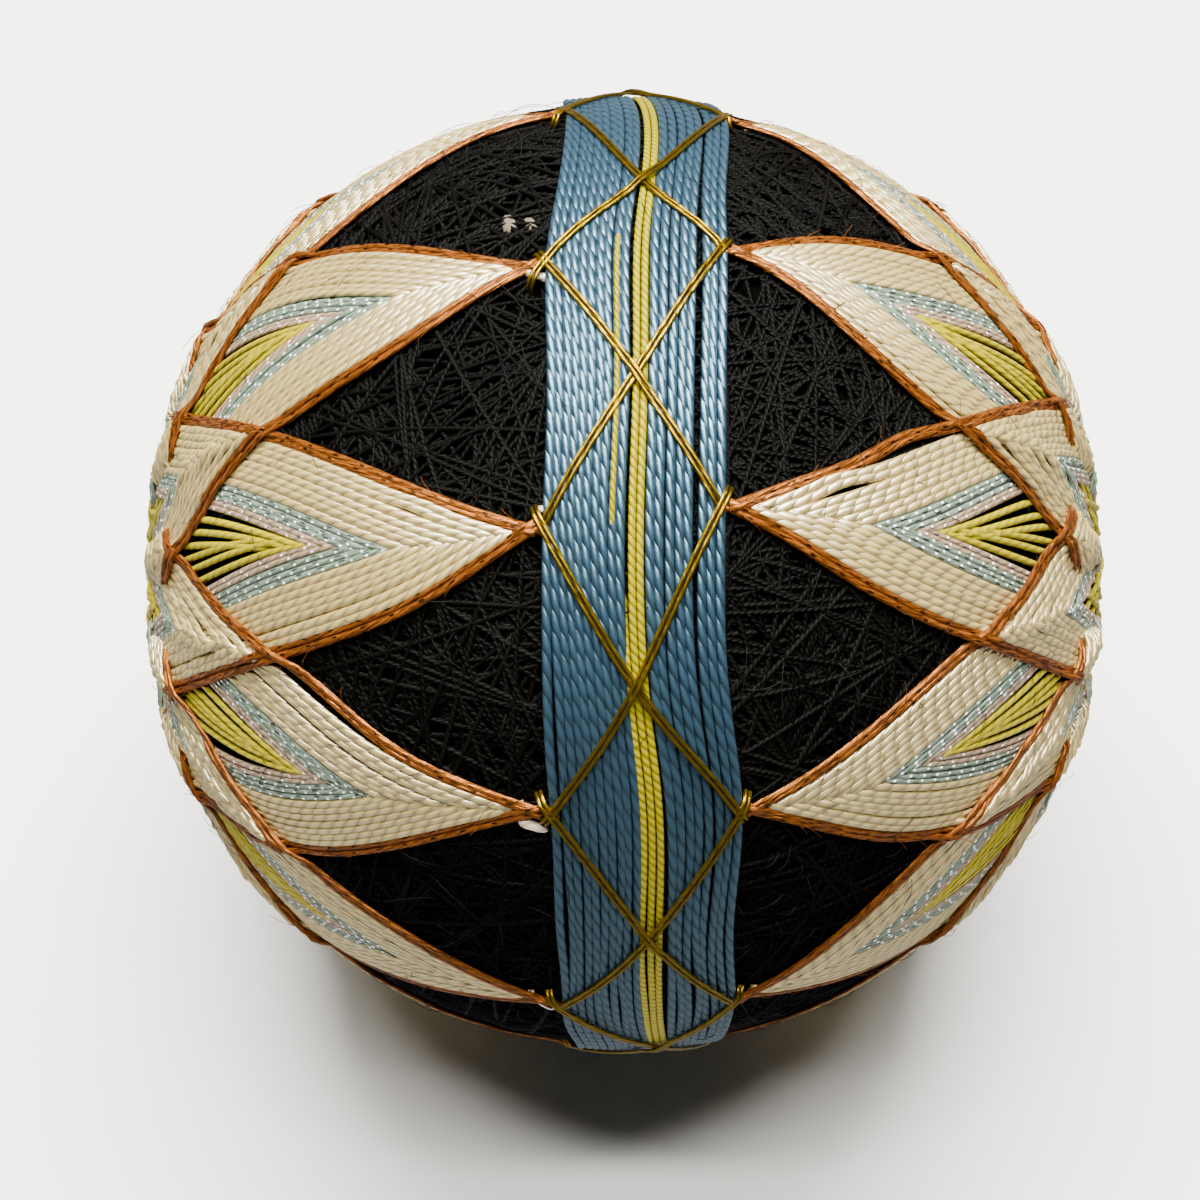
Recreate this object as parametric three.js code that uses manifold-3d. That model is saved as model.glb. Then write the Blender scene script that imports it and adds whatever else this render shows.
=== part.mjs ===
// A temari ball: a thread-wound ball with four-pointed petals stitched round both of its poles,
// a wrapped band round its middle and a gold crisscross over the band.
// Millimetres, +Z up. The origin is the middle of the small flat spot that the ball rests on.
// The two poles lie on X, so the band stands in the YZ plane and passes under the ball.
// A turn is an angle round X, from +Y towards +Z. A latitude runs from the band (0) to a pole (90).
import * as THREE from "three";
import { mergeVertices } from "three/addons/utils/BufferGeometryUtils.js";
import Module from "manifold-3d";

const BALL_RADIUS = 43.5;
const GAP = 0.4; // between one layer and the next, with room for the flats between their corners
const BAND_THICKNESS = 0.7;
const FLAT_DEPTH = 0.7; // how far the ball's own weight has pressed its underside flat
const THREAD_THICKNESS = 0.4; // of a layer of petal threads
const LAYER_RISE = 0.8; // from one star's threads up to the next one's where they cross

const UNDERSIDE = BALL_RADIUS + GAP; // radius of the underside of the band and the petals
const BAND_RADIUS = UNDERSIDE + BAND_THICKNESS;
const CENTRE_HEIGHT = BAND_RADIUS - FLAT_DEPTH;
const BAND_FLAT_INSIDE = 0.55; // height of the pressed band's upper face
const BALL_FLAT = BAND_FLAT_INSIDE + 0.35;

const MARK_LINES = 12; // meridians that the pattern is set out on
const MARK_TURN = 360 / MARK_LINES;
const STARS = 3; // interlocked four-pointed stars at each pole
const STAR_TURN = MARK_TURN * STARS; // from one point of a star to the next
const CROSSING_FROM = 28; // the threads rise to their own layer between these latitudes
const CROSSING_TO = 36;

const BALL_SEGMENTS = 40;
const BAND_SEGMENTS = 60;

const BAND_PIECES = [
  { name: "band_blue_left", from: -8.75, to: -1.85, strips: 2, colour: 0x5f8fb4 },
  { name: "band_yellow", from: -1.47, to: 1.47, strips: 1, colour: 0xd9c63c },
  { name: "band_blue_right", from: 1.85, to: 8.75, strips: 2, colour: 0x5f8fb4 },
];

// The threads of one colour, from a petal's edge inwards. Tip latitudes are where its V points to
// the band, and heart latitudes are where it turns back near the pole.
const PETAL_COLOURS = [
  {
    name: "copper", colour: 0xb5672c, roughness: 0.45, metalness: 0.5,
    tipFrom: 9.1, tipTo: 11.1, heartFrom: 63.5, heartTo: 64.9, strips: 1, steps: 7,
  },
  {
    name: "cream", colour: 0xe9dcb4, roughness: 0.6, metalness: 0,
    tipFrom: 12.2, tipTo: 23.6, heartFrom: 65.4, heartTo: 72.0, strips: 2, steps: 7,
  },
  {
    name: "aqua", colour: 0x97b5ad, roughness: 0.55, metalness: 0.1,
    tipFrom: 24.7, tipTo: 32.6, heartFrom: 72.5, heartTo: 77.0, strips: 1, steps: 6,
  },
  {
    name: "yellow", colour: 0xcdbd2e, roughness: 0.6, metalness: 0,
    tipFrom: 33.7, tipTo: 40.5, heartFrom: 77.5, heartTo: 83.5, strips: 1, steps: 6,
  },
];

// Which layer each of the three stars crosses in, from the lowest up.
const SIDES = [
  { name: "left", sign: -1, layerOfStar: [2, 0, 1] },
  { name: "right", sign: 1, layerOfStar: [0, 2, 1] },
];

const GOLD_REACH = 10.2; // latitude where the gold thread turns round a petal's tip
const GOLD_WIDTH = 0.8; // of the two strands together
const GOLD_THICKNESS = 0.4;
const GOLD_RADIUS = BAND_RADIUS + 0.36; // radius of its underside
const GOLD_STEPS = 5; // straight stretches from one tip to the next
const GOLD_START_TURN = 285; // its ends are the crossings on each side of the flat spot
const GOLD_LEGS = MARK_LINES - 1;

const wasm = await Module();
wasm.setup();

const radians = THREE.MathUtils.degToRad;

function direction(turn, latitude) {
  return new THREE.Vector3(
    Math.sin(radians(latitude)),
    Math.cos(radians(latitude)) * Math.cos(radians(turn)),
    Math.cos(radians(latitude)) * Math.sin(radians(turn)),
  );
}

function pointAt(way, radius, lowest = 0) {
  const point = way.clone().multiplyScalar(radius);
  point.z = Math.max(point.z + CENTRE_HEIGHT, lowest);
  return point;
}

// The way a share of the arc from one direction to another, which a taut thread follows.
function alongArc(from, to, share) {
  const angle = from.angleTo(to);
  return from
    .clone()
    .multiplyScalar(Math.sin((1 - share) * angle))
    .addScaledVector(to, Math.sin(share * angle))
    .divideScalar(Math.sin(angle));
}

// A closed skin over sections that have the same number of points. A closed run joins its last
// section to its first, and an open one has a flat cap at each end. The second half of a section
// runs back over the first, so its faces are split the other way to keep the thickness even.
function skin(sections, isClosed) {
  const size = sections[0].length;
  const corners = [];
  const runs = isClosed ? sections.length : sections.length - 1;
  for (let run = 0; run < runs; run++) {
    const next = (run + 1) % sections.length;
    for (let side = 0; side < size; side++) {
      const beside = (side + 1) % size;
      const a = run * size + side;
      const b = run * size + beside;
      const c = next * size + beside;
      const d = next * size + side;
      if (side < size / 2) corners.push(a, b, c, a, c, d);
      else corners.push(a, b, d, b, c, d);
    }
  }
  if (!isClosed) {
    const last = (sections.length - 1) * size;
    for (let side = 1; side < size - 1; side++) {
      corners.push(0, side + 1, side);
      corners.push(last, last + side, last + side + 1);
    }
  }
  const geometry = new THREE.BufferGeometry().setFromPoints(sections.flat());
  geometry.setIndex(corners);
  return facingOut(geometry);
}

function signedVolume(geometry) {
  const places = geometry.getAttribute("position");
  const order = geometry.getIndex().array;
  const [a, b, c] = [new THREE.Vector3(), new THREE.Vector3(), new THREE.Vector3()];
  let volume = 0;
  for (let i = 0; i < order.length; i += 3) {
    a.fromBufferAttribute(places, order[i]);
    b.fromBufferAttribute(places, order[i + 1]);
    c.fromBufferAttribute(places, order[i + 2]);
    volume += a.dot(b.cross(c)) / 6;
  }
  return volume;
}

function facingOut(geometry) {
  if (signedVolume(geometry) < 0) {
    geometry.setIndex([...geometry.getIndex().array].reverse());
  }
  return geometry;
}

function solidOf(geometry) {
  const bare = new THREE.BufferGeometry().setAttribute("position", geometry.getAttribute("position"));
  bare.setIndex(geometry.getIndex());
  const merged = mergeVertices(bare, 1e-4);
  return new wasm.Manifold(
    new wasm.Mesh({
      numProp: 3,
      vertProperties: merged.getAttribute("position").array,
      triVerts: new Uint32Array(merged.getIndex().array),
    }),
  );
}

function geometryOf(solid) {
  const mesh = solid.getMesh();
  const places = new THREE.BufferAttribute(mesh.vertProperties.slice(), 3);
  return new THREE.BufferGeometry()
    .setAttribute("position", places)
    .setIndex(new THREE.BufferAttribute(mesh.triVerts.slice(), 1));
}

// The ball, wound round and round with thin black thread, and pressed flat where it rests.
function woundBall() {
  const sphere = new THREE.SphereGeometry(BALL_RADIUS, BALL_SEGMENTS, BALL_SEGMENTS / 2);
  sphere.rotateZ(Math.PI / 2);
  sphere.translate(0, 0, CENTRE_HEIGHT);
  const bare = new THREE.BufferGeometry().setAttribute("position", sphere.getAttribute("position"));
  bare.setIndex(sphere.getIndex());
  const ball = mergeVertices(bare, 1e-3);
  const places = ball.getAttribute("position");
  for (let i = 0; i < places.count; i++) {
    places.setZ(i, Math.max(places.getZ(i), BALL_FLAT));
  }
  return ball;
}

// One colour of the band: a ring with the ball's curve across it.
function bandRing({ from, to, strips }) {
  const sections = [];
  for (let step = 0; step < BAND_SEGMENTS; step++) {
    const turn = (360 * step) / BAND_SEGMENTS;
    const under = [];
    const over = [];
    for (let edge = 0; edge <= strips; edge++) {
      const way = direction(turn, from + ((to - from) * edge) / strips);
      under.push(pointAt(way, UNDERSIDE, BAND_FLAT_INSIDE));
      over.unshift(pointAt(way, BAND_RADIUS));
    }
    sections.push([...under, ...over]);
  }
  return skin(sections, true);
}

function layerHeight(way, layer) {
  const latitude = THREE.MathUtils.radToDeg(Math.asin(Math.abs(way.x)));
  return layer * LAYER_RISE * THREE.MathUtils.smoothstep(latitude, CROSSING_FROM, CROSSING_TO);
}

// A thread of a star, from a petal's tip to the next heart stitch and on to the next tip.
function threadWay(sign, star, petal, half, share, tip, heart) {
  const tipTurn = star * MARK_TURN + (petal + half) * STAR_TURN;
  const heartTurn = star * MARK_TURN + (petal + 0.5) * STAR_TURN;
  const fromTip = half === 0 ? share : 1 - share;
  return alongArc(direction(tipTurn, sign * tip), direction(heartTurn, sign * heart), fromTip);
}

// One colour of one star: a ribbon that zigzags between its four tips and its four heart stitches.
function petalRing(side, star, colour) {
  const sections = [];
  const layer = side.layerOfStar[star];
  for (let petal = 0; petal < 4; petal++) {
    for (let half = 0; half < 2; half++) {
      for (let step = 0; step < colour.steps; step++) {
        const under = [];
        const over = [];
        for (let edge = 0; edge <= colour.strips; edge++) {
          const inwards = edge / colour.strips;
          const tip = THREE.MathUtils.lerp(colour.tipFrom, colour.tipTo, inwards);
          const heart = THREE.MathUtils.lerp(colour.heartFrom, colour.heartTo, inwards);
          const way = threadWay(side.sign, star, petal, half, step / colour.steps, tip, heart);
          const radius = UNDERSIDE + layerHeight(way, layer);
          under.push(pointAt(way, radius));
          over.unshift(pointAt(way, radius + THREAD_THICKNESS));
        }
        sections.push([...under, ...over]);
      }
    }
  }
  return skin(sections, true);
}

// One of the two gold threads, which zigzags over the band from tip to tip. It starts on the
// right or the left of the band and stops short of the flat spot at both ends.
function goldZigzag(firstSign) {
  const firstMark = Math.ceil(GOLD_START_TURN / MARK_TURN);
  const corners = [direction(GOLD_START_TURN, 0)];
  for (let leg = 0; leg < GOLD_LEGS; leg++) {
    const sign = leg % 2 === 0 ? firstSign : -firstSign;
    corners.push(direction((firstMark + leg) * MARK_TURN, sign * GOLD_REACH));
  }
  corners.push(direction(GOLD_START_TURN + GOLD_LEGS * MARK_TURN, 0));
  const ways = [corners[0]];
  for (let leg = 1; leg < corners.length; leg++) {
    for (let step = 1; step <= GOLD_STEPS; step++) {
      ways.push(alongArc(corners[leg - 1], corners[leg], step / GOLD_STEPS));
    }
  }
  const sections = ways.map((way, i) => {
    const before = ways[Math.max(i - 1, 0)];
    const after = ways[Math.min(i + 1, ways.length - 1)];
    const across = after.clone().sub(before).cross(way).normalize();
    const low = pointAt(way, GOLD_RADIUS);
    const high = pointAt(way, GOLD_RADIUS + GOLD_THICKNESS);
    return [
      low.clone().addScaledVector(across, -GOLD_WIDTH / 2),
      low.clone().addScaledVector(across, GOLD_WIDTH / 2),
      high.clone().addScaledVector(across, GOLD_WIDTH / 2),
      high.clone().addScaledVector(across, -GOLD_WIDTH / 2),
    ];
  });
  return skin(sections, false);
}

function goldCrisscross() {
  return geometryOf(solidOf(goldZigzag(1)).add(solidOf(goldZigzag(-1))));
}

function addPiece(group, name, geometry, finish) {
  const mesh = new THREE.Mesh(geometry, new THREE.MeshStandardMaterial(finish));
  mesh.name = name;
  group.add(mesh);
}

const temari = new THREE.Group();

addPiece(temari, "ball_black", woundBall(), { color: 0x1e1b18, roughness: 0.95, metalness: 0 });

for (const piece of BAND_PIECES) {
  addPiece(temari, piece.name, bandRing(piece), { color: piece.colour, roughness: 0.45, metalness: 0 });
}

for (const side of SIDES) {
  for (let star = 0; star < STARS; star++) {
    for (const colour of PETAL_COLOURS) {
      const name = `petals_${colour.name}_${side.name}_${star + 1}`;
      const finish = { color: colour.colour, roughness: colour.roughness, metalness: colour.metalness };
      addPiece(temari, name, petalRing(side, star, colour), finish);
    }
  }
}

addPiece(temari, "crisscross_gold", goldCrisscross(), { color: 0xb8912a, roughness: 0.35, metalness: 0.8 });

export default temari;
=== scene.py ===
# %% [markdown]
# # A temari ball in thread
# A temari is a ball wound with fine thread and decorated with stitched thread. Everything that
# shows is thread, so this lesson builds thread: each strand is a tube laid over what was there
# before it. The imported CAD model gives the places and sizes, and each of its solids is replaced
# by the threads that it stands for.

# %% Load the frame
import bpy
import math
import numpy as np
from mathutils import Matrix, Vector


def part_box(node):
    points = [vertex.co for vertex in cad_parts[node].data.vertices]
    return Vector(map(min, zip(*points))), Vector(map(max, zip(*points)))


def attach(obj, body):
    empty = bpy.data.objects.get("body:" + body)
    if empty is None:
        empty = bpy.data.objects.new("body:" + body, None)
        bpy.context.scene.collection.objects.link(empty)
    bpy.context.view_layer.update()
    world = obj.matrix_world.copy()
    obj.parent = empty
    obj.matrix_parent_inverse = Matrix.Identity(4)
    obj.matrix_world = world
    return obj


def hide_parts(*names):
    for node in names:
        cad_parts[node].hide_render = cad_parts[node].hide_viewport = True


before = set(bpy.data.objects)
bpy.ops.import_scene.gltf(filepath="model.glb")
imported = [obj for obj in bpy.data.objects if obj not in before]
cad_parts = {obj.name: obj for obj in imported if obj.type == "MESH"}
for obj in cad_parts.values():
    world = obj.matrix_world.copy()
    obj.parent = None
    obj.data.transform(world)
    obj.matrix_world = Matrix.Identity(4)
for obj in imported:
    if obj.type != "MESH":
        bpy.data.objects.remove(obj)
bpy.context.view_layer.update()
MM = 0.001
PATTERN_RADIUS = 45.0  # radius on which the pattern's lengths along the ball are measured, in millimetres
ball_low, ball_high = (np.array(corner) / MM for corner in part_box("ball_black"))
band_low, band_high = (np.array(corner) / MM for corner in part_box("band_yellow"))
BALL_RADIUS = (ball_high[0] - ball_low[0]) / 2
BAND_RADIUS = (band_high[1] - band_low[1]) / 2
CENTRE_HEIGHT = band_high[2] - BAND_RADIUS
CENTRE = np.array([0.0, 0.0, CENTRE_HEIGHT])
rng = np.random.default_rng(7)
print(f"ball radius {BALL_RADIUS:.2f} mm, band radius {BAND_RADIUS:.2f} mm")
print(f"centre {CENTRE_HEIGHT:.2f} mm over the floor")

# %% [markdown]
# ## The camera
# The photograph looks down on the ball from close by, about five ball radii away. The camera comes
# first, so that every later piece can be judged from the same place.

# %% Camera
VIEW_ELEVATION = math.radians(55)
VIEW_TURN = 0.0
CAMERA_DISTANCE = 5 * PATTERN_RADIUS * MM
LENS_MM = 71.2
SENSOR_MM = 36
PHOTO_SIDE = 1200
BALL_PIXEL = (624.0, 573.0)  # where the photograph shows the ball's middle

toward_camera = np.array([
    math.sin(VIEW_TURN) * math.cos(VIEW_ELEVATION),
    -math.cos(VIEW_TURN) * math.cos(VIEW_ELEVATION),
    math.sin(VIEW_ELEVATION),
])
bpy.ops.object.camera_add(location=tuple(CENTRE * MM + toward_camera * CAMERA_DISTANCE))
camera = bpy.context.object
camera.name = "photo_camera"
camera.rotation_euler = (math.pi / 2 - VIEW_ELEVATION, 0, VIEW_TURN)
camera.data.lens = LENS_MM
camera.data.sensor_width = SENSOR_MM
camera.data.shift_x = (PHOTO_SIDE / 2 - BALL_PIXEL[0]) / PHOTO_SIDE
camera.data.shift_y = (BALL_PIXEL[1] - PHOTO_SIDE / 2) / PHOTO_SIDE
camera.data.clip_start = 0.01
bpy.context.scene.camera = camera
print("camera at", [round(v, 3) for v in camera.location])

# %% [markdown]
# ## The floor and the light
# The floor is a plain sheet. Its shadow tells the light. The shadow's front edge is fairly sharp
# and its sides are soft, so one light is a lamp tube across the ball, just over it, which gives each
# thread a short bright highlight. The floor in front of the ball is darker than that at its sides,
# so most of the light is a broader soft one a little behind the ball.

# %% Floor and lights
def plain_material(name, colour, roughness, shine=0.5):
    material = bpy.data.materials.new(name)
    material.use_nodes = True
    shader = material.node_tree.nodes["Principled BSDF"]
    shader.inputs["Base Color"].default_value = (*colour, 1)
    shader.inputs["Roughness"].default_value = roughness
    shader.inputs["Specular IOR Level"].default_value = shine
    return material


FLOOR_SIZE = 6  # metres
LAMP_COLOUR = (1.0, 0.985, 0.95)


def soft_light(name, place, size, watts, colour=LAMP_COLOUR):
    """A rectangle of light that faces the ball."""
    bpy.ops.object.light_add(type="AREA", location=place)
    light = bpy.context.object
    light.name = name
    light.data.shape = "RECTANGLE"
    light.data.size, light.data.size_y = size
    light.data.energy = watts
    light.data.color = colour
    aim = CENTRE * MM - np.array(place)
    flat = math.hypot(aim[0], aim[1])
    light.rotation_euler = (math.atan2(flat, -aim[2]), 0, math.atan2(-aim[0], aim[1]))


bpy.ops.object.select_all(action="DESELECT")
bpy.ops.mesh.primitive_plane_add(size=FLOOR_SIZE, location=(0, 0, -0.0002))
floor = bpy.context.object
floor.name = "floor"
bpy.ops.object.transform_apply(location=True, rotation=True, scale=True)
floor.data.materials.append(plain_material("pale_paper", (0.86, 0.85, 0.83), 0.75))
floor.visible_glossy = False  # the threads would mirror it too strongly

soft_light("ceiling_tube", (0.0, -0.085, 0.75), (0.55, 0.06), 8.0)
soft_light("soft_room_behind", (0.0, 0.25, 0.77), (0.65, 0.22), 38.0, (1.0, 0.985, 0.96))
world = bpy.data.worlds.new("dim_room")
world.use_nodes = True
room = world.node_tree
room.nodes["Background"].inputs["Color"].default_value = (0.93, 0.95, 1.0, 1)
toward = room.nodes.new("ShaderNodeTexCoord")
height = room.nodes.new("ShaderNodeSeparateXYZ")
below = room.nodes.new("ShaderNodeMapRange")
# What the threads mirror is dim above and paler below.
for socket, value in (("From Min", -0.3), ("From Max", 0.05), ("To Min", 0.45), ("To Max", 0.03)):
    below.inputs[socket].default_value = value
room.links.new(toward.outputs["Generated"], height.inputs[0])
room.links.new(height.outputs["Z"], below.inputs["Value"])
room.links.new(below.outputs["Result"], room.nodes["Background"].inputs["Strength"])
bpy.context.scene.world = world

# %% [markdown]
# ## Directions on the ball
# The pattern is set out as its maker does it, from the band (latitude 0) to the poles (90), with
# twelve mark lines. Taut thread takes the shortest way over a ball, so every strand is an arc
# between two directions.

# %% Directions and arcs
MARK_TURN = 30.0


def direction(turn, latitude):
    turn, latitude = np.radians(turn), np.radians(latitude)
    return np.stack(
        [np.sin(latitude), np.cos(latitude) * np.cos(turn), np.cos(latitude) * np.sin(turn)], axis=-1
    )


def arc(start, end, step_mm):
    angle = math.acos(float(np.clip(start @ end, -1, 1)))
    count = max(3, round(angle * PATTERN_RADIUS / step_mm) + 1)
    share = np.linspace(0, 1, count)[:, None]
    return (np.sin((1 - share) * angle) * start + np.sin(share * angle) * end) / math.sin(angle)


tip_to_tip = arc(direction(0, 0), direction(MARK_TURN, 0), 1.0)
print(f"an arc from one mark line to the next has {len(tip_to_tip)} points")

# %% [markdown]
# ## Where the hand laid them
# No ball is even. The photograph shows petal tips and crossings up to 3.6 mm beside the places
# that the mark lines give. The table below holds those moves for the side that shows, and all
# directions near a place move with it, more weakly the further they are.

# %% The pattern's own strays
STRAYS = np.array([
    # turn, latitude, millimetres along the turn, millimetres toward the right pole
    # petal tips beside the band
    (60, -8.4, -1.3, 1.2), (90, -8.4, 0.5, -0.1), (120, -8.4, 0.3, 0.0), (150, -8.4, 0.3, 0.5),
    (180, -8.4, 1.1, 0.8), (60, 8.4, -1.3, 2.7), (90, 8.4, -1.3, 1.7), (120, 8.4, -1.3, 1.2),
    (150, 8.4, 0.6, 3.0), (180, 8.4, 1.6, 3.2),
    # crossings of each petal with the next one
    (75, -39.3, -0.8, 0.1), (105, -39.3, -0.1, -1.8), (135, -39.3, 0.9, -0.9), (165, -39.3, 1.7, -0.5),
    (75, 39.3, 0.8, -2.1), (105, 39.3, 0.1, -1.3), (135, 39.3, -0.5, 1.1), (165, 39.3, -1.1, -1.0),
    # crossings of each petal with the next but one
    (90, -56.5, -0.4, -1.9), (120, -56.5, 0.4, -1.8), (150, -56.5, 0.7, -2.9),
    (90, 56.5, -1.0, 0.4), (120, 56.5, -1.1, -0.3), (150, 56.5, -0.8, 2.6), (180, 56.5, -2.0, 0.5),
    # tips of the aqua rows inside the petals
    (90, -24.2, 0.8, 0.3), (120, -24.2, 1.7, 0.8), (150, -24.2, 1.5, -1.6),
    (90, 24.2, -0.9, -0.3), (120, 24.2, -0.4, 0.7), (150, 24.2, 0.4, 2.0),
    # crossings of the gold threads on the band
    (60, 0, 1.5, 1.8), (75, 0, 2.9, 1.6), (105, 0, -0.3, 0.9), (135, 0, 1.1, 0.9), (165, 0, 1.5, 2.1),
    (200, 0, 0.6, 3.0), (225, 0, 0.0, 1.8), (30, 0, 0.0, 0.9),
])
STRAY_REACH = math.radians(15)


def closeness(ways, spots):
    apart = np.arccos(np.clip(ways @ spots.T, -1, 1))
    return np.exp(-(apart / STRAY_REACH) ** 2)


stray_spots = direction(STRAYS[:, 0], STRAYS[:, 1])
stray_pull = np.linalg.solve(
    closeness(stray_spots, stray_spots) + 0.03 * np.eye(len(STRAYS)), STRAYS[:, 2:]
)


def strayed(ways):
    """The even pattern's directions, moved to where the hand laid them."""
    along, poleward = (closeness(ways, stray_spots) @ stray_pull).T / PATTERN_RADIUS
    turn = np.arctan2(ways[:, 2], ways[:, 1])
    flat = np.hypot(ways[:, 1], ways[:, 2])
    east = np.stack([np.zeros_like(turn), -np.sin(turn), np.cos(turn)], -1)
    north = np.stack([flat, -ways[:, 0] * np.cos(turn), -ways[:, 0] * np.sin(turn)], -1)
    moved = ways + east * along[:, None] + north * poleward[:, None]
    return moved / np.linalg.norm(moved, axis=1)[:, None]


here = direction(STRAYS[:, 0], STRAYS[:, 1])
moved_mm = np.linalg.norm(strayed(here) - here, axis=1) * PATTERN_RADIUS
print(f"{len(STRAYS)} places, the furthest moved by {moved_mm.max():.1f} mm")

# %% [markdown]
# ## The flat underside
# Soft thread gives way where the ball rests, so the lowest threads are squeezed into a flat spot
# instead of reaching through the floor.

# %% Pressed threads
PRESS_FROM = 1.0  # height under which the ball's weight squeezes its threads


def pressed(points):
    """The given points in millimetres, with the lowest ones squeezed into a flat underside."""
    low = points[:, 2] < PRESS_FROM
    points[low, 2] = PRESS_FROM * np.exp((points[low, 2] - PRESS_FROM) / PRESS_FROM)
    return points


lowest = CENTRE_HEIGHT - BAND_RADIUS
flat_spot = pressed(np.array([[0.0, 0.0, lowest]]))[0, 2]
print(f"the lowest threads of the band go from {lowest:.2f} to {flat_spot:.2f} mm")

# %% [markdown]
# ## A thread
# A curve with a bevel could be a thread, but its texture then stretches with each curve's length
# and its section can't be flattened. So each thread is a mesh tube, and its texture map holds the
# turn round the thread and the millimetres along it, which the twist of the yarn needs.

# %% Threads as one mesh
class Threads:
    """Collects strands and makes them one mesh with a map of turns and millimetres.

    All faces have four corners, also those of the end caps, so a strand has an even number of sides.
    """

    def __init__(self, sides):
        self.sides = sides
        self.points, self.corners, self.maps, self.shades, self.count = [], [], [], [], 0

    def add(self, line, out, radius, flatness=0.85, closed=False):
        sides, rings = self.sides, len(line)
        ahead = np.roll(line, -1, axis=0) - np.roll(line, 1, axis=0)
        if not closed:
            ahead[0], ahead[-1] = line[1] - line[0], line[-1] - line[-2]
        across = np.cross(out, ahead)
        across /= np.linalg.norm(across, axis=1)[:, None]
        up = np.cross(ahead, across)
        up /= np.linalg.norm(up, axis=1)[:, None]
        turn = np.arange(sides) * 2 * math.pi / sides
        offset = np.broadcast_to(radius, rings)[:, None, None] * (
            np.cos(turn)[None, :, None] * across[:, None]
            + flatness * np.sin(turn)[None, :, None] * up[:, None]
        )
        self.points.append((line[:, None] + offset).reshape(-1, 3))
        runs = rings if closed else rings - 1
        ring, side = np.meshgrid(np.arange(runs), np.arange(sides), indexing="ij")
        near, beside = ring * sides + side, ring * sides + (side + 1) % sides
        far, far_beside = (near + sides) % (rings * sides), (beside + sides) % (rings * sides)
        self.corners.append(np.stack([near, beside, far_beside, far], -1).reshape(-1, 4) + self.count)
        ends = np.array([[0, k + 1, k + 2, k + 3] for k in range(0, sides - 2, 2)])
        along = np.concatenate([[0], np.cumsum(np.linalg.norm(np.diff(line, axis=0), axis=1))])
        if closed:
            along = np.append(along, along[-1] + np.linalg.norm(line[0] - line[-1]))
        start = rng.random() * 10
        low, high = along[:-1][:, None] + start, along[1:][:, None] + start
        u = np.broadcast_to(np.arange(sides) / sides, (runs, sides))
        v0, v1 = np.broadcast_to(low, (runs, sides)), np.broadcast_to(high, (runs, sides))
        step = 1 / sides
        quad = [(u, v0), (u + step, v0), (u + step, v1), (u, v1)]
        self.maps.append(np.stack([np.stack(pair, -1) for pair in quad], 2).reshape(-1, 2))
        if not closed:
            self.corners += [ends[:, ::-1] + self.count, ends + self.count + (rings - 1) * sides]
            for place in (start, start + along[-1]):
                self.maps.append(np.stack([ends.ravel() / sides, np.full(ends.size, place)], -1))
        self.shades.append(np.full(rings * sides, rng.random()))
        self.count += rings * sides

    def make(self, name, material, nodes=()):
        points = pressed(np.concatenate(self.points)) * MM
        corners, places = np.concatenate(self.corners), np.concatenate(self.maps)
        mesh = bpy.data.meshes.new(name)
        mesh.vertices.add(len(points))
        mesh.vertices.foreach_set("co", points.astype(np.float32).ravel())
        mesh.loops.add(corners.size)
        mesh.loops.foreach_set("vertex_index", corners.astype(np.int32).ravel())
        mesh.polygons.add(len(corners))
        mesh.polygons.foreach_set("loop_start", np.arange(0, corners.size, 4, dtype=np.int32))
        mesh.update(calc_edges=True)
        layer = mesh.uv_layers.new(name="thread")
        layer.data.foreach_set("uv", places.astype(np.float32).ravel())
        shade = mesh.attributes.new("strand", "FLOAT", "POINT")
        shade.data.foreach_set("value", np.concatenate(self.shades).astype(np.float32))
        mesh.polygons.foreach_set("use_smooth", np.ones(len(corners), bool))
        mesh.materials.append(material)
        piece = bpy.data.objects.new(name, mesh)
        bpy.context.collection.objects.link(piece)
        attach(piece, "root")
        if nodes:
            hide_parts(*nodes)
        print(f"{name}: {len(self.points)} strands, {2 * len(corners)} triangles")


# %% [markdown]
# ## Twist
# Cotton for stitching is two plies twisted into a cord, and light catches each ply as a slanted
# bead. The group below turns the thread's map into that relief and a mask of its grooves, which
# the yarns fill with painted shade. It is built once, and each yarn gives it its own pitch.

# %% Shader helpers
def link(tree, start, end):
    tree.links.new(start, end)


def math_node(tree, kind, first, second=None):
    node = tree.nodes.new("ShaderNodeMath")
    node.operation = kind
    for socket, value in zip(node.inputs, (first, second)):
        if isinstance(value, (int, float)):
            socket.default_value = value
        elif value is not None:
            link(tree, value, socket)
    return node.outputs[0]


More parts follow.
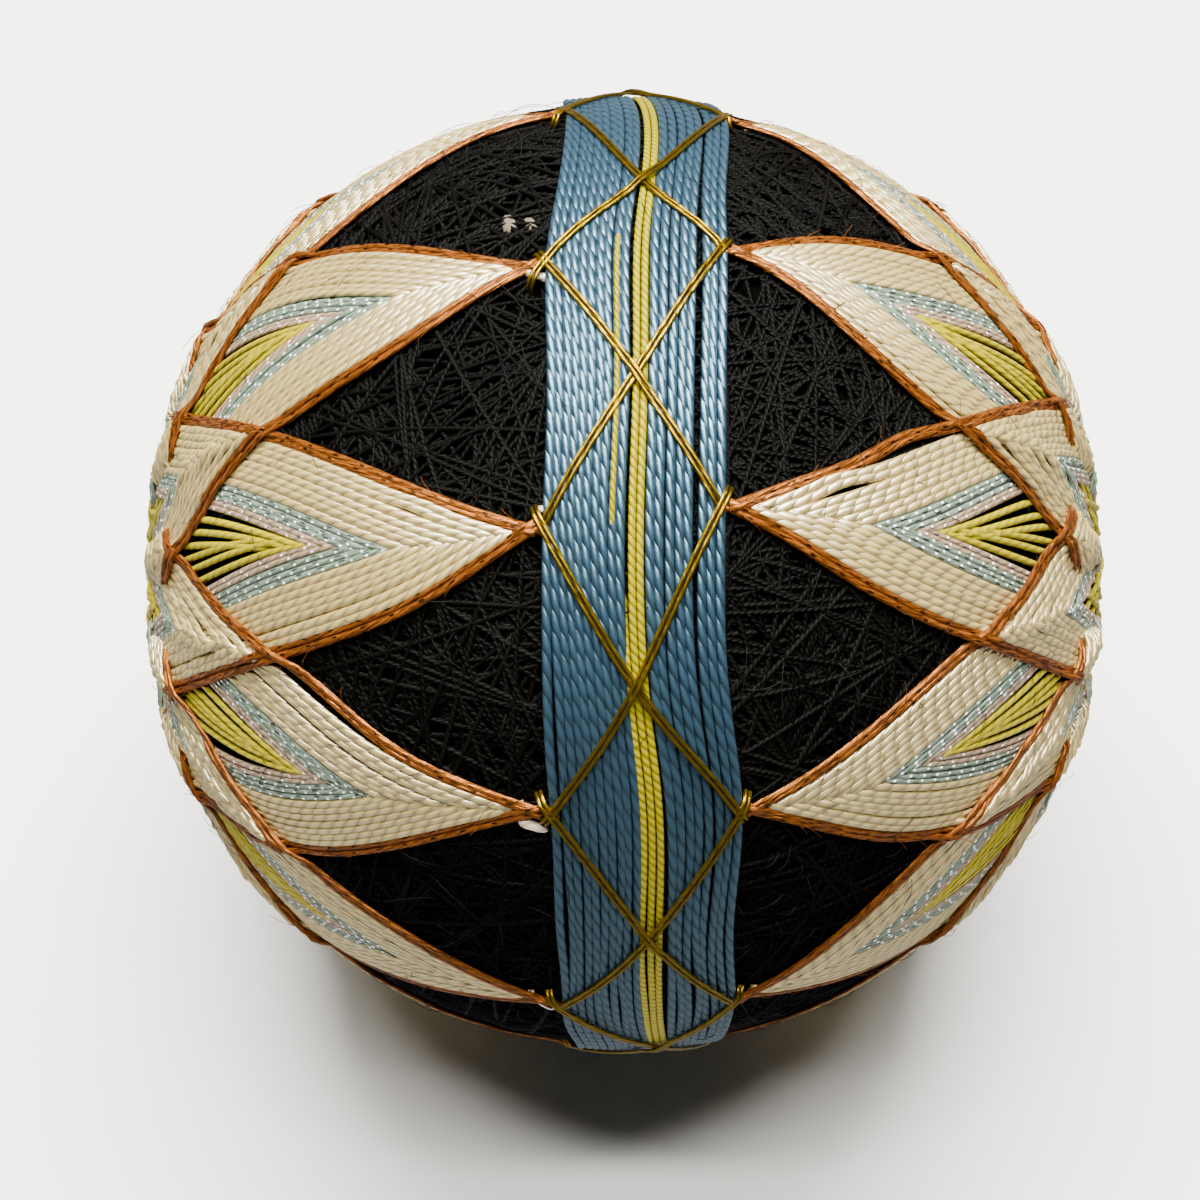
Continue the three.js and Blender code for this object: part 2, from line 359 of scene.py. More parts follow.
def twist_group():
    tree = bpy.data.node_groups.new("yarn_twist", "ShaderNodeTree")
    for name, value in (("Plies", 2.0), ("Pitch", 2.4), ("Fibre", 0.3)):
        socket = tree.interface.new_socket(name, in_out="INPUT", socket_type="NodeSocketFloat")
        socket.default_value = value
    for name in ("Height", "GrooveShade", "Hairs", "Along", "Around"):
        tree.interface.new_socket(name, in_out="OUTPUT", socket_type="NodeSocketFloat")
    given = tree.nodes.new("NodeGroupInput")
    result = tree.nodes.new("NodeGroupOutput")
    uv = tree.nodes.new("ShaderNodeUVMap")
    uv.uv_map = "thread"
    split = tree.nodes.new("ShaderNodeSeparateXYZ")
    link(tree, uv.outputs[0], split.inputs[0])
    turns = math_node(tree, "DIVIDE", split.outputs[1], given.outputs["Pitch"])
    lean = math_node(tree, "ADD", turns, split.outputs[0])
    phase = math_node(tree, "MULTIPLY", lean, given.outputs["Plies"])
    wave = math_node(tree, "SINE", math_node(tree, "MULTIPLY", phase, math.pi))
    bead = math_node(tree, "POWER", math_node(tree, "ABSOLUTE", wave), 0.85)
    hair_place = tree.nodes.new("ShaderNodeCombineXYZ")
    link(tree, math_node(tree, "MULTIPLY", phase, 7.0), hair_place.inputs[0])
    link(tree, math_node(tree, "MULTIPLY", split.outputs[1], 0.8), hair_place.inputs[1])
    hairs = tree.nodes.new("ShaderNodeTexNoise")
    hairs.inputs["Scale"].default_value = 1.0
    hairs.inputs["Detail"].default_value = 2.0
    link(tree, hair_place.outputs[0], hairs.inputs["Vector"])
    fine = math_node(tree, "MULTIPLY", hairs.outputs[0], given.outputs["Fibre"])
    link(tree, math_node(tree, "ADD", bead, fine), result.inputs["Height"])
    # The groove mask marks where the yarns paint shade.
    link(tree, math_node(tree, "SUBTRACT", 1.0, bead), result.inputs["GrooveShade"])
    link(tree, hairs.outputs[0], result.inputs["Hairs"])
    link(tree, split.outputs[1], result.inputs["Along"])
    link(tree, split.outputs[0], result.inputs["Around"])
    return tree


TWIST = twist_group()
print("the group gives", [item.name for item in TWIST.interface.items_tree if item.in_out == "OUTPUT"])

# %% [markdown]
# ## Yarns
# Every thread here is one yarn with its own numbers: plain cotton has painted shade in its grooves,
# metallic thread has streaks along it, and some threads have a fine metal strip laid in: short dark
# dashes of painted shade mark its slits and bright painted highlights its glints, all on one side.
# Nothing here depends on where the camera is.

# %% A yarn's material
def marks(tree, twist, strand, spacing, length, middle, width):
    """A mask of short marks along a thread, all on one side of it."""
    shifted = math_node(tree, "ADD", math_node(tree, "DIVIDE", twist.outputs["Along"], spacing),
                        math_node(tree, "MULTIPLY", strand, 13.7))
    there = math_node(tree, "LESS_THAN", math_node(tree, "FRACT", shifted), length / spacing)
    off = math_node(tree, "ABSOLUTE", math_node(tree, "SUBTRACT", twist.outputs["Around"], middle))
    return math_node(tree, "MULTIPLY", there, math_node(tree, "LESS_THAN", off, width / 2))


def mixed(tree, share, first, second):
    node = tree.nodes.new("ShaderNodeMix")
    node.data_type = "RGBA"
    for socket_name, value in (("Factor", share), ("A", first), ("B", second)):
        socket = node.inputs[socket_name]
        if isinstance(value, tuple):
            socket.default_value = (*value, 1)
        else:
            link(tree, value, socket)
    return node.outputs["Result"]


PATCH_SCALE = 90.0  # patches of lighter and darker thread, per metre
# Painted highlight: white dots stand in for the glints of a thread's metal strip.
PAINTED_GLINT_COLOUR = (0.95, 0.97, 0.95)


def yarn(name, colour, groove_shade_and_streak_colour, plies=2.0, pitch=2.4, fibre=0.3, depth_mm=0.09, roughness=0.42,
         metallic=0.0, shine=0.5, tint=(1, 1, 1), density=1.5, vary=0.12,
         streaks=None, painted_slit_shade=None, painted_glints=None):
    """A twisted yarn: colour with painted shade in its grooves, a little different from strand to strand.
    """
    material = bpy.data.materials.new(name)
    material.use_nodes = True
    tree = material.node_tree
    shader = tree.nodes["Principled BSDF"]
    twist = tree.nodes.new("ShaderNodeGroup")
    twist.node_tree = TWIST
    twist.inputs["Plies"].default_value = plies
    twist.inputs["Pitch"].default_value = pitch
    twist.inputs["Fibre"].default_value = fibre
    bump = tree.nodes.new("ShaderNodeBump")
    bump.inputs["Distance"].default_value = depth_mm * MM
    bump.inputs["Strength"].default_value = 1.0
    link(tree, twist.outputs["Height"], bump.inputs["Height"])
    link(tree, bump.outputs[0], shader.inputs["Normal"])
    strand_node = tree.nodes.new("ShaderNodeAttribute")
    strand_node.attribute_name = "strand"
    strand = strand_node.outputs["Fac"]
    shade = twist.outputs["GrooveShade"]
    if streaks is not None:
        middle = math_node(tree, "SUBTRACT", twist.outputs["Hairs"], 0.5)
        shade = math_node(tree, "ADD", math_node(tree, "MULTIPLY", middle, streaks), 0.4)
        shade = math_node(tree, "MINIMUM", math_node(tree, "MAXIMUM", shade, 0.0), 1.0)
    # In the grooves the darker colour is painted shade; a streaked yarn uses it for its darker streaks
    # instead.
    base = mixed(tree, shade, colour, groove_shade_and_streak_colour)
    if painted_slit_shade is not None:
        # Painted shade: very dark dashes for the small slits between the fibres.
        slit_shade_colour = tuple(0.15 * part for part in groove_shade_and_streak_colour)
        base = mixed(tree, marks(tree, twist, strand, *painted_slit_shade), base, slit_shade_colour)
    tone = math_node(tree, "ADD", math_node(tree, "MULTIPLY", strand, vary), 1 - vary / 2)
    place = tree.nodes.new("ShaderNodeTexCoord")
    patches = tree.nodes.new("ShaderNodeTexNoise")
    patches.inputs["Scale"].default_value = PATCH_SCALE
    patches.inputs["Detail"].default_value = 3.0
    link(tree, place.outputs["Object"], patches.inputs["Vector"])
    soft = math_node(tree, "ADD", math_node(tree, "MULTIPLY", patches.outputs[0], 0.3), 0.85)
    scale = tree.nodes.new("ShaderNodeVectorMath")
    scale.operation = "SCALE"
    link(tree, base, scale.inputs[0])
    link(tree, math_node(tree, "MULTIPLY", tone, soft), scale.inputs["Scale"])
    final = scale.outputs[0]
    shader.inputs["Roughness"].default_value = roughness
    shader.inputs["Metallic"].default_value = metallic
    shader.inputs["Specular IOR Level"].default_value = shine
    shader.inputs["Specular Tint"].default_value = (*tint, 1)
    shader.inputs["IOR"].default_value = density
    if painted_glints is not None:
        # Painted highlights: bright dots laid into the base colour.
        final = mixed(tree, marks(tree, twist, strand, *painted_glints), final, PAINTED_GLINT_COLOUR)
    link(tree, final, shader.inputs["Base Color"])
    return material


print(f"patches of about {1 / PATCH_SCALE / MM:.0f} mm")

# %% [markdown]
# ## This ball's yarns
# Pitch is the length of one turn of the twist in millimetres. The second colour is painted shade in the
# grooves; a streaked yarn uses it for its darker streaks instead. The painted slit shade and the painted
# glints give their spacing and length in millimetres, and their middle and width as a share of the way
# round the thread.

# %% Yarns
BLACK = yarn("black_thread", (0.0023, 0.0021, 0.0015), (0.0006, 0.0005, 0.0004), pitch=1.1,
             fibre=0.5, depth_mm=0.06, roughness=0.5, shine=0.04, vary=1.3)
BLUE = yarn("blue_cotton", (0.011, 0.028, 0.045), (0.002, 0.006, 0.011), pitch=3.4, depth_mm=0.11,
            roughness=0.38, shine=1.0, tint=(0.48, 0.82, 1.0), density=1.7)
BAND_YELLOW = yarn("band_yellow_cotton", (0.27, 0.225, 0.0), (0.11, 0.085, 0.0), pitch=1.5, depth_mm=0.07,
                   roughness=0.4, shine=0.6, tint=(1.0, 0.9, 0.08))
YELLOW = yarn("petal_yellow_cotton", (0.32, 0.265, 0.0), (0.18, 0.14, 0.0), pitch=2.6, depth_mm=0.035,
              roughness=0.42, shine=0.4, tint=(1.0, 0.95, 0.2))
BEIGE = yarn("beige_cotton", (0.27, 0.19, 0.115), (0.15, 0.095, 0.055), depth_mm=0.05,
             painted_slit_shade=(3.1, 0.4, 0.34, 0.07), painted_glints=(2.6, 0.24, 0.22, 0.10))
AQUA = yarn("aqua_glint_thread", (0.17, 0.22, 0.15), (0.05, 0.08, 0.06), plies=3, pitch=6, fibre=0.8,
            depth_mm=0.05, roughness=0.36, shine=0.8, streaks=2.2, painted_slit_shade=(2.3, 0.6, 0.32, 0.08),
            painted_glints=(1.45, 0.26, 0.2, 0.11))
CREAM = yarn("cream_cotton", (0.42, 0.31, 0.09), (0.20, 0.13, 0.03), pitch=3.0,
             roughness=0.40, shine=1.0, tint=(1.0, 0.93, 0.72), density=2.35)
COPPER = yarn("copper_braid", (0.25, 0.073, 0.010), (0.025, 0.006, 0.0005), pitch=13,
              fibre=1.2, depth_mm=0.08, roughness=0.33, metallic=0.4, shine=0.7,
              tint=(1.0, 0.5, 0.2), streaks=4.0, painted_slit_shade=(2.9, 0.45, 0.3, 0.08))
GOLD = yarn("gold_braid", (0.38, 0.24, 0.0), (0.07, 0.032, 0.0), pitch=5.0, fibre=0.7,
            depth_mm=0.04, roughness=0.3, metallic=0.92, streaks=2.2)
WHITE = yarn("white_cotton", (0.60, 0.50, 0.40), (0.35, 0.24, 0.16), pitch=3.0,
             depth_mm=0.08, roughness=0.45, shine=0.8)
TUFT = plain_material("filling_tuft", (0.11, 0.09, 0.06), 0.9, 0.1)
LINT = plain_material("black_lint", (0.008, 0.0075, 0.006), 0.6, 0.1)
print("materials:", [material.name for material in bpy.data.materials])

# %% [markdown]
# ## The black ball
# The base is a ball of fine black thread wound at random until nothing shows through. Building all
# of it would be a waste, so a plain dark ball lies just under the surface and closes what could be
# seen between the outer threads. It has the black thread's colour, painted darker and without shine
# as painted shade of the deeper layers.

# %% Ball under the winding
UNDER_BALL = BALL_RADIUS - 0.55
UNDER_LIFT = 0.25  # so that the ball stays over the pressed threads below it
bpy.ops.object.select_all(action="DESELECT")
bpy.ops.mesh.primitive_ico_sphere_add(subdivisions=6, radius=UNDER_BALL * MM, location=tuple(CENTRE * MM))
under = bpy.context.object
under.name = "wound_ball"
bpy.ops.object.transform_apply(location=True, rotation=True, scale=True)
bpy.ops.object.shade_smooth()
spots = np.array([vertex.co for vertex in under.data.vertices]) / MM
spots = pressed(spots + np.where(spots[:, 2:] < PRESS_FROM, [[0, 0, UNDER_LIFT]], 0.0))
under.data.vertices.foreach_set("co", (spots * MM).astype(np.float32).ravel())
# The black thread beneath, painted darker and shineless as the shade of the deeper layers.
under.data.materials.append(plain_material("under_thread_painted_shade", (0.001, 0.001, 0.0008), 0.95, 0.0))
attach(under, "root")
print(f"dark ball of radius {UNDER_BALL:.2f} mm")

# %% [markdown]
# ## The outer winding
# The maker turns the ball a little after each ring of thread. Here each ring is a circle in a random
# direction, bent a little and moved off the ball's middle, and each lies slightly over the ones
# before it. Rings are closed, so no ends show, and two halves keep each mesh within bounds.

# %% Random winding
WINDINGS = 560
WINDING_POINTS = 66
BLACK_RADIUS = 0.26
LOWEST, RISE = 0.42, 0.5  # the first ring's depth in the ball, and how far the last one rises from it
WOBBLE, OFF_MIDDLE = 0.03, 0.12  # shares of the ball's radius
for half in range(2):
    wound = Threads(4)
    for turn in range(WINDINGS // 2):
        axis = rng.normal(size=3)
        axis /= np.linalg.norm(axis)
        first = np.cross(axis, [0.3, 0.5, 0.8])
        first /= np.linalg.norm(first)
        second = np.cross(axis, first)
        angle = np.linspace(0, 2 * math.pi, WINDING_POINTS, endpoint=False)[:, None]
        wobble = WOBBLE * rng.normal() * np.sin(angle * rng.integers(2, 5) + rng.random() * 6)
        aside = axis * (wobble + rng.uniform(-OFF_MIDDLE, OFF_MIDDLE))
        ways = np.cos(angle) * first + np.sin(angle) * second + aside
        ways /= np.linalg.norm(ways, axis=1)[:, None]
        height = BALL_RADIUS - LOWEST + RISE * (turn + half * 0.5) / (WINDINGS // 2)
        wound.add(CENTRE + ways * height, ways, BLACK_RADIUS, 0.8, closed=True)
    nodes = ["ball_black"] if half == 0 else ()
    wound.make(f"black_winding_{half + 1}", BLACK, nodes)

# %% [markdown]
# ## How threads pile up
# Each pole carries three interlocked four-pointed stars. The maker lays one row of every star, then
# the next row of every star, so a later row always crosses over an earlier one. A relief map of the
# half ball remembers how high the threads lie so far. Each new leg rests on it, is pulled taut
# between its high points, and is then added to the map. Simulating 816 taut threads would be slow,
# and the order in which they lie is known beforehand.

# %% Relief of one half of the ball
CELL = 0.15
REACH = 66.0
CELLS = int(2 * REACH / CELL) + 1
BASE = BALL_RADIUS + 0.28  # radius where the lowest petal threads lie
TAUT_SLOPE = 0.6  # how steeply a taut thread comes down from what it crosses
MOST_PILE = 2.3  # threads press into each other, so a pile grows ever more slowly
STEP = 0.55  # from one point of a leg to the next, in millimetres
EASING = np.array([1, 2, 3, 2, 1]) / 9  # weights that round off a leg's bends
THREAD_CORE = 1.1  # threads side by side leave no dip for another thread to fall into


def cells_of(ways):
    away = np.arccos(np.clip(np.abs(ways[:, 0]), -1, 1)) * PATTERN_RADIUS
    turn = np.arctan2(ways[:, 2], ways[:, 1])
    row = ((away * np.cos(turn) + REACH) / CELL).astype(int)
    column = ((away * np.sin(turn) + REACH) / CELL).astype(int)
    return row, column


def lay(reliefs, star, ways, radius, flatness, dive_start, dive_end):
    """Rests a taut thread on the other stars and adds it to its own star's relief.

    Returns the heights of the thread's middle line. A dive is a depth and the length it takes.
    """
    row, column = cells_of(ways)
    others = [relief for number, relief in enumerate(reliefs) if number != star]
    rest = np.maximum(*(relief[row, column] for relief in others))
    rest = MOST_PILE * np.tanh(rest / MOST_PILE)
    fall = TAUT_SLOPE * STEP
    for i in range(1, len(rest)):
        rest[i] = max(rest[i], rest[i - 1] - fall)
    for i in range(len(rest) - 2, -1, -1):
        rest[i] = max(rest[i], rest[i + 1] - fall)
    eased = np.convolve(np.pad(rest, len(EASING) // 2, mode="edge"), EASING, mode="valid")
    along = np.arange(len(rest)) * STEP
    for distance, (depth, length) in ((along, dive_start), (along[::-1], dive_end)):
        near = np.clip(1 - distance / length, 0, 1)
        eased = eased * (1 - near ** 2) - depth * near ** 2
    core = radius * THREAD_CORE
    reach = math.ceil(core / CELL)
    for i in range(-reach, reach + 1):
        for j in range(-reach, reach + 1):
            if math.hypot(i, j) * CELL <= core:
                np.maximum.at(reliefs[star], (row + i, column + j), eased + 2 * radius * flatness)
    return eased + radius * flatness


print(f"relief of {CELLS} by {CELLS} cells of {CELL} mm")

# %% [markdown]
# ## The petals' rows
# A petal starts with its innermost row and grows outwards: yellow, beige, aqua, cream and a copper
# edge. Each row is one leg from the petal's tip to a heart stitch near the pole on either side. The
# numbers below say where the first and the last row of each colour begin and end, and a few legs
# that this ball's maker laid a little apart have a bow of their own.

# %% Rows of the stars
# Latitudes of the first and last row of each colour: at the tips, and at the heart stitches.
ROWS = [
    # colour, rows, first tip, last tip, first heart, last heart, half width, flatness, material
    ("yellow", 3, 39.0, 33.0, 88.0, 80.0, 0.30, 0.80, YELLOW),
    ("beige", 2, 31.8, 30.2, 76.2, 75.4, 0.29, 0.75, BEIGE),
    ("aqua", 3, 28.4, 24.6, 74.6, 72.9, 0.30, 0.72, AQUA),
    ("cream", 7, 22.2, 10.5, 72.0, 65.7, 0.41, 0.60, CREAM),
    ("copper", 2, 8.9, 7.7, 64.7, 63.8, 0.33, 0.65, COPPER),
]
HEART_HALF_GAP = {"yellow": 0.7, "beige": 1.0, "aqua": 1.2, "cream": 1.7, "copper": 2.1}
# How deep each colour dives at its tips. Copper is the last one laid, and rises over the others.
TIP_DIVE = {"yellow": 0.5, "beige": 0.5, "aqua": 0.5, "cream": 0.5, "copper": -0.3}
HEART_TURN = 45  # a heart stitch lies this many degrees beside its petal's mark line
WIDEST_GAP = 14
TIP_CROSS = 0.35  # how far a leg starts beyond its petal's mark line, in millimetres
BULGE = 1.3  # a leg swings out this many degrees where its neighbour pushes it
TIP_DIVE_LENGTH = 2.2
HEART_DIVE = (2.0, 1.6)  # how deep a leg goes into the ball at its heart, and over what length
HAND_TURN, HAND_TIP, HAND_HEART = 0.08, 0.12, 0.15  # how far a hand strays, in degrees
BOWS = [
    # side, petal, leg, colour, rows, degrees, where along the leg, over what share of it
    ("left", 150, -1, "copper", (0, 1), 1.1, 0.45, 0.15),
    ("left", 120, -1, "cream", (5, 6), 0.4, 0.19, 0.05),
    ("left", 150, 1, "yellow", (0, 2), -1.3, 0.4, 0.17),
    ("right", 120, -1, "copper", (0, 1), 1.0, 0.42, 0.1),
    ("right", 120, -1, "cream", (5, 6), 0.75, 0.18, 0.07),
]


def own_bow(side, petal, toward, colour, row, share):
    """Degrees by which a leg swings out, at each share of the way along it."""
    bow = BULGE * np.sin(math.pi * share) * np.sin(math.pi * share ** 0.8)
    for *its_leg, (low, high), degrees, peak, reach in BOWS:
        if its_leg == [side, petal, toward, colour] and low <= row <= high:
            bow = bow + degrees * np.exp(-((share - peak) / reach) ** 2)
    return bow


def star_leg(sign, tip_turn, toward, tip, heart, half_gap, bow):
    """The ways of one leg, from just across its petal's mark line to just short of its heart."""
    cross = math.degrees(TIP_CROSS / (PATTERN_RADIUS * math.cos(math.radians(tip))))
    gap = math.degrees(half_gap / (PATTERN_RADIUS * math.cos(math.radians(heart))))
    ways = arc(direction(-toward * cross, tip), direction(toward * HEART_TURN, heart), STEP)
    turn = np.degrees(np.arctan2(ways[:, 2], ways[:, 1]))
    latitude = np.degrees(np.arcsin(ways[:, 0]))
    kept = toward * turn <= HEART_TURN - min(gap, WIDEST_GAP)
    turn, latitude = turn[kept], latitude[kept]
    share = np.linspace(0, 1, len(turn))
    return strayed(direction(tip_turn + turn + toward * bow(share), sign * latitude))


sample = star_leg(1, 90, 1, 22.2, 72.0, 1.7, np.zeros_like)
print(f"the innermost cream leg is about {(len(sample) - 1) * STEP:.0f} mm long")

# %% [markdown]
# ## Stitching both poles
# Row by row, every star gets its four petals, and the leg's line turns into a thread. Each colour of
# a side is one mesh, which stands for that colour's three ribbons in the CAD model; beige has none there.

# %% Petals
SIDES = [("left", -1, (1, 2, 0)), ("right", 1, (0, 2, 1))]  # side, its pole, the order of its stars
copper_lines = []
for side_name, sign, star_order in SIDES:
    reliefs = np.zeros((len(star_order), CELLS, CELLS))
    for colour, rows, tip0, tip1, heart0, heart1, radius, flatness, material in ROWS:
        threads = Threads(6)
        for row in range(rows):
            share = row / max(rows - 1, 1)
            tip, heart = tip0 + (tip1 - tip0) * share, heart0 + (heart1 - heart0) * share
            for star in star_order:
                for petal in range(4):
                    tip_turn = (star + 3 * petal) * MARK_TURN
                    for toward in (-1, 1):
                        own_tip = tip + rng.normal() * HAND_TIP
                        own_heart = heart + rng.normal() * HAND_HEART
                        ways = star_leg(
                            sign, tip_turn + rng.normal() * HAND_TURN, toward, own_tip, own_heart,
                            HEART_HALF_GAP[colour],
                            lambda along: own_bow(side_name, tip_turn % 360, toward, colour, row, along),
                        )
                        tip_dive = (TIP_DIVE[colour], TIP_DIVE_LENGTH)
                        height = lay(reliefs, star, ways, radius, flatness, tip_dive, HEART_DIVE)
                        line = CENTRE + ways * (BASE + height)[:, None]
                        keep = np.unique(np.append(np.arange(0, len(ways), 2), len(ways) - 1))
                        threads.add(line[keep], ways[keep], radius, flatness)
                        if colour == "copper":
                            copper_lines.append((line, ways))
        slot = "aqua_thread" if colour == "beige" else f"{colour}_thread"
        nodes = [] if colour == "beige" else [f"petals_{colour}_{side_name}_{n}" for n in (1, 2, 3)]
        threads.make(f"{colour}_threads_{side_name}", material, nodes)
    print(f"{side_name}: threads pile up to {reliefs.max():.2f} mm")

# %% [markdown]
# ## The band
# The band is wrapped round and round, one thread beside the next: blue, two yellow in the middle
# with a third beside them for half of the way, and blue again. One more yellow thread strays over
# the blue. Hand wrapping leaves small slits where the black shows. Each turn is a closed ring here,
# which looks the same as the real spiral and has no seam.

# %% Wrapped band
BAND_THREAD = 0.38
BAND_FLATNESS = 0.75
BAND_BASE = BALL_RADIUS + 0.32
BAND_STEPS = 150
# Middle and half length of each slit, in degrees round the band.
SLITS = {"top": (103, 30), "low": (141, 13), "under": (167, 13), "third": (170, 40)}
# Each thread's place beside the middle, and how far it keeps away from which slit.
BLUE_LEFT = [
    (-5.85, -0.22, "low"), (-5.28, 0, ""), (-4.71, 0, ""), (-4.14, 0, ""), (-3.57, 0, ""),
    (-3.0, 0, ""), (-2.43, 0, ""), (-1.83, -0.12, "third"), (-1.22, -0.26, "third"),
    (-0.57, -0.42, "third"),
]
BLUE_RIGHT = [
    (1.30, 0.30, "under"), (1.98, 0.25, "under"), (2.66, 0.15, "under"), (3.33, 0, ""),
    (4.00, -0.08, "top"), (4.70, 0.36, "top"), (5.38, 0.30, "top"), (6.05, 0.26, "top"),
]
MIDDLE_YELLOW = [0.10, 0.64]
# Place, radius, from and to in degrees, and how far it lies on the others.
STRAY_YELLOW = (-1.26, 0.22, (80, 127), 0.3)
THIRD_YELLOW = (-0.44, 0.31, (125, 235), 0.0)
YELLOW_RADIUS = 0.30
END_DIVE, END_DIVE_LENGTH = 1.1, 6.0
LOOSE_TURN, LOOSE_REACH, LOOSE_SWAY = 172, 20, 0.11  # low on the near side the wrapping lies looser


def band_thread(threads, offset_mm, radius, sway_mm, slit_mm=0.0, slit="", span=None, lift_mm=0.0):
    """One turn of the wrapping, or a part of one, a little wavy as a hand lays it."""
    turn = np.linspace(0, 2 * math.pi, BAND_STEPS, endpoint=False)
    if span:
        turn = np.radians(np.linspace(*span, round((span[1] - span[0]) * BAND_STEPS / 360)))
    sway = sum(rng.normal() * sway_mm / n * np.sin(n * turn + rng.random() * 6) for n in (1, 2, 3, 5))
    loose = np.exp(-((np.degrees(turn) - LOOSE_TURN) / LOOSE_REACH) ** 2)
    swing = rng.normal() * LOOSE_SWAY * loose
    sway = sway + swing * np.sin(rng.integers(7, 15) * turn + rng.random() * 6)
    if slit:
        middle_turn, half_length = SLITS[slit]
        sway = sway + slit_mm * np.exp(-((np.degrees(turn) - middle_turn) / half_length) ** 2)
    latitude = np.degrees((offset_mm + sway) / BAND_BASE)
    ways = strayed(direction(np.degrees(turn), latitude))
    height = BAND_BASE + BAND_THREAD * BAND_FLATNESS
    if span:  # it lies on the wrapping, and each of its ends dives under it
        from_end = np.minimum(turn - turn[0], turn[-1] - turn) * PATTERN_RADIUS
        height = (height + lift_mm - END_DIVE * np.clip(1 - from_end / END_DIVE_LENGTH, 0, 1))[:, None]
    threads.add(CENTRE + ways * height, ways, radius, BAND_FLATNESS, closed=not span)


for name, offsets in (("left", BLUE_LEFT), ("right", BLUE_RIGHT)):
    blue = Threads(8)
    for offset, slit_mm, slit in offsets:
        band_thread(blue, offset, BAND_THREAD * rng.uniform(0.95, 1.05), 0.05, slit_mm, slit)
    blue.make(f"blue_band_{name}", BLUE, [f"band_blue_{name}"])
middle = Threads(8)
for offset in MIDDLE_YELLOW:
    band_thread(middle, offset, YELLOW_RADIUS, 0.03)
for offset, radius, span, lift_mm in (STRAY_YELLOW, THIRD_YELLOW):
    band_thread(middle, offset, radius, 0.03, span=span, lift_mm=lift_mm)
middle.make("yellow_band", BAND_YELLOW, ["band_yellow"])

# %% [markdown]
# ## The gold crisscross
# Two gold threads, each laid double, zigzag over the band and hold it down. They turn round the
# petals' tips with a short stitch, so each leg starts and ends a little beyond a tip and goes into
# the ball there.

# %% Gold threads
GOLD_REACH = 8.1  # latitude where a leg meets a petal's tip
GOLD_THREAD = 0.17  # radius of one of the two strands
GOLD_APART = 0.40
GOLD_BEFORE = 1.9  # how far each leg starts beyond the petal's tip, in millimetres
GOLD_AFTER = 0.7  # and how far it ends beyond the next one
# Legs that end further out: side and turn of the tip, and millimetres.
LONG_ENDS = {(-1, 60): 2.4, (-1, 90): 2.8, (-1, 150): 1.6, (1, 60): 1.2, (1, 150): 1.4}
GOLD_HEIGHT = BAND_BASE + 2 * BAND_THREAD * BAND_FLATNESS + GOLD_THREAD
GOLD_STEP = 0.8
CROSSING_LIFT, CROSSING_REACH = 0.32, 1.6  # one gold thread rises over the other where they cross
STITCH_DIVE, STITCH_LENGTH = 0.9, 1.2  # and each leg goes into the ball at both of its ends
gold = Threads(6)
for first_sign in (1, -1):
    for leg in range(12):
        sign = first_sign * (-1) ** leg
        tip = direction(leg * MARK_TURN, sign * GOLD_REACH)
        end = direction((leg + 1) * MARK_TURN, -sign * GOLD_REACH)
        angle = math.acos(tip @ end)
        after = LONG_ENDS.get((-sign, (leg + 1) * MARK_TURN % 360), GOLD_AFTER)
        start, stop = (
            (math.sin(angle - over) * tip + math.sin(over) * end) / math.sin(angle)
            for over in (-GOLD_BEFORE / GOLD_HEIGHT, angle + after / GOLD_HEIGHT)
        )
        ways = strayed(arc(start, stop, GOLD_STEP))
        across = np.cross(ways[0], ways[-1])
        across /= np.linalg.norm(across)
        from_start = np.arange(len(ways)) * GOLD_STEP
        middle_mm = (from_start[-1] - GOLD_BEFORE - after) / 2 + GOLD_BEFORE
        lift = CROSSING_LIFT * (first_sign > 0)
        lift = lift * np.exp(-((from_start - middle_mm) / CROSSING_REACH) ** 2)
        dive = STITCH_DIVE * np.clip(1 - from_start / STITCH_LENGTH, 0, 1) ** 2
        height = GOLD_HEIGHT + lift - (dive + dive[::-1])
        for strand in (-0.5, 0.5):
            line = CENTRE + ways * height[:, None] + across * GOLD_APART * strand
            gold.add(line, ways, GOLD_THREAD, 0.9)
gold.make("gold_crisscross", GOLD, ["crisscross_gold"])

# %% [markdown]
# ## Loose ends
# Handwork shows where threads start and stop. Short cut ends of white cotton lie beside the left
# tips, and tufts of the filling show through the black above one of them. They are short threads
# whose radius shrinks towards both ends.

# %% Cut ends and tufts
CUT_ENDS = [
    # turn and latitude of each end, radius, height over the ball
    ((90.6, -11.2), (92.7, -7.6), 0.42, 0.35),
    ((118.3, -8.6), (119.2, -7.1), 0.30, 0.45),
    ((152.0, -10.9), (152.7, -7.8), 0.42, 0.35),
    ((181.9, -9.6), (183.8, -7.8), 0.36, 0.35),
]
TUFTS = [
    ((81.0, -13.0), (84.2, -12.1), 0.75, -0.42),
    ((82.2, -10.7), (84.4, -9.6), 0.6, -0.36),
]


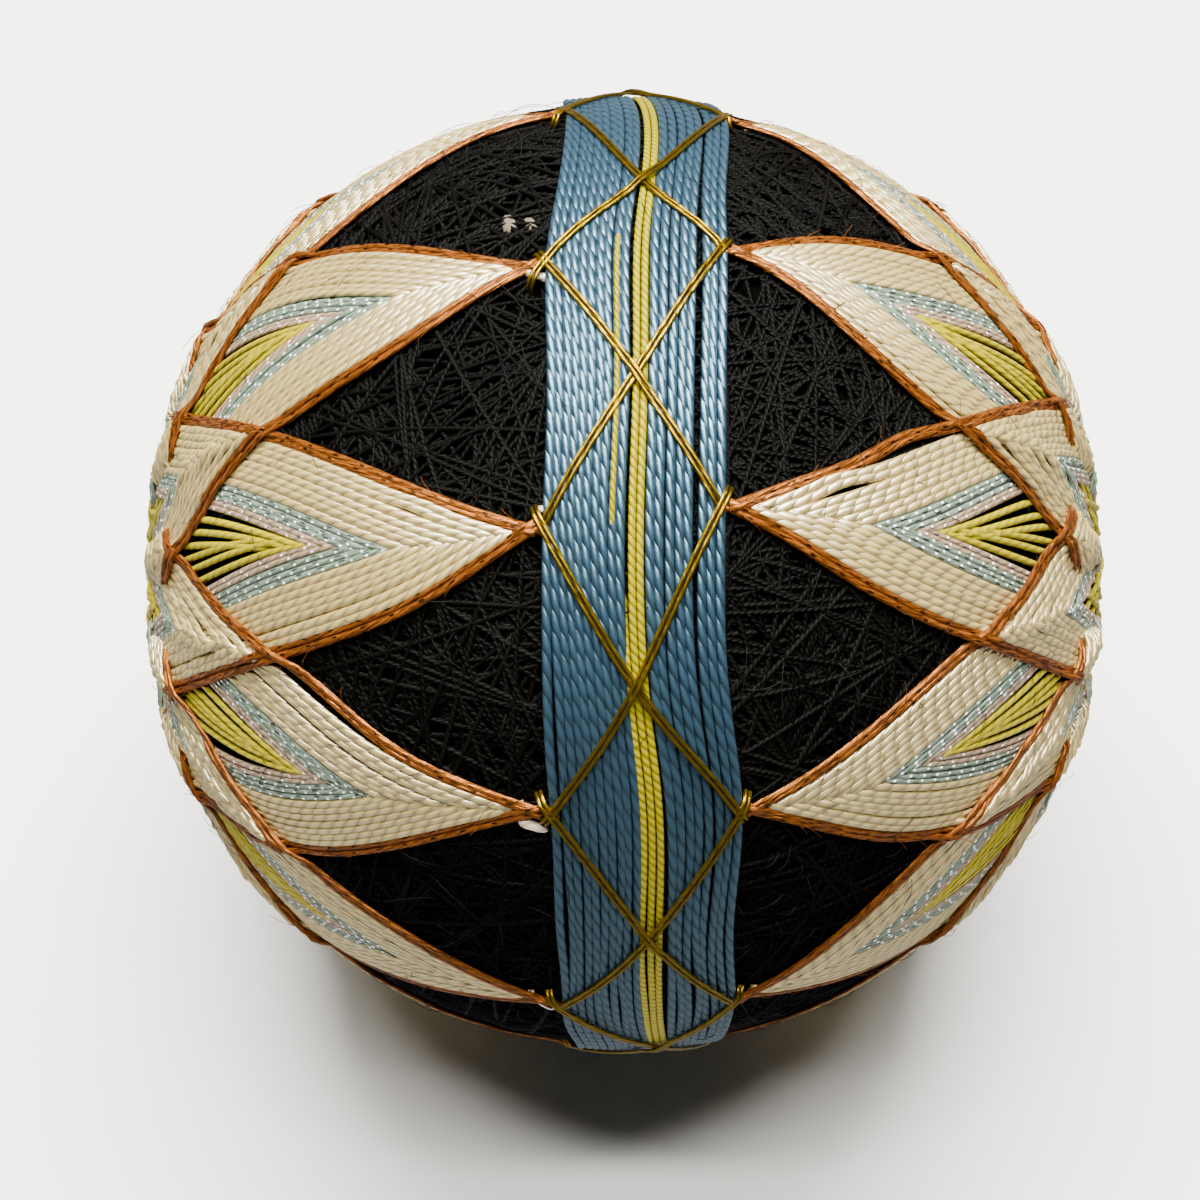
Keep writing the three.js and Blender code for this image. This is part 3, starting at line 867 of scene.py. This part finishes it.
def cut_end(threads, start, end, radius, height):
    """A short piece of thread with rounded ends."""
    ways = arc(direction(*start), direction(*end), 0.25)
    share = np.linspace(-1, 1, len(ways))
    rounded = radius * np.sqrt(1 - 0.93 * share ** 4)
    threads.add(CENTRE + ways * (BALL_RADIUS + height), ways, rounded, 0.8)


for name, material, slot, places in (
    ("white_cut_ends", WHITE, "cream_thread", CUT_ENDS),
    ("filling_tufts", TUFT, "black_thread", TUFTS),
):
    ends = Threads(8)
    for start, end, radius, height in places:
        cut_end(ends, start, end, radius, height)
    ends.make(name, material)

# %% [markdown]
# ## Hairs
# Hairs blur the hard edge between thread and air, which is much of what makes thread look soft.
# They are thin tubes of six points rather than a particle system, so they stay plain meshes.

# %% Hairs
BLACK_HAIRS = 1100
COPPER_HAIRS = 6  # for each leg
HAIR_POINTS = 6
CURL, SIDEWAYS = 0.35, 0.35


def hair(threads, point, out, ahead, length_mm, lift_mm, radius):
    """A thin hair that starts at a point and curls away over the ball."""
    side = np.cross(out, ahead)
    share = np.linspace(0, 1, HAIR_POINTS)[:, None]
    curl = rng.normal() * CURL * length_mm
    line = point + ahead * share * length_mm + side * curl * share ** 2
    line = line + out * lift_mm * np.sin(share * 2.6)
    threads.add(line, np.repeat(out[None], HAIR_POINTS, axis=0), radius, 1.0)


fuzz = Threads(4)
for _ in range(BLACK_HAIRS):
    out = rng.normal(size=3)
    out /= np.linalg.norm(out)
    ahead = np.cross(out, rng.normal(size=3))
    ahead /= np.linalg.norm(ahead)
    root = CENTRE + out * (BALL_RADIUS + 0.1)
    hair(fuzz, root, out, ahead, rng.uniform(1.5, 5), rng.uniform(0.2, 0.8), 0.03)
fuzz.make("black_hairs", LINT)

copper_fuzz = Threads(4)
for line, ways in copper_lines:
    for _ in range(COPPER_HAIRS):
        place = rng.integers(2, len(ways) - 6)
        ahead = line[place + 1] - line[place]
        ahead /= np.linalg.norm(ahead)
        lean = ahead + np.cross(ways[place], ahead) * rng.normal() * SIDEWAYS
        lean /= np.linalg.norm(lean)
        length_mm, lift_mm = rng.uniform(1.2, 3.0), rng.uniform(0.25, 0.6)
        hair(copper_fuzz, line[place], ways[place], lean, length_mm, lift_mm, 0.028)
copper_fuzz.make("copper_hairs", COPPER)
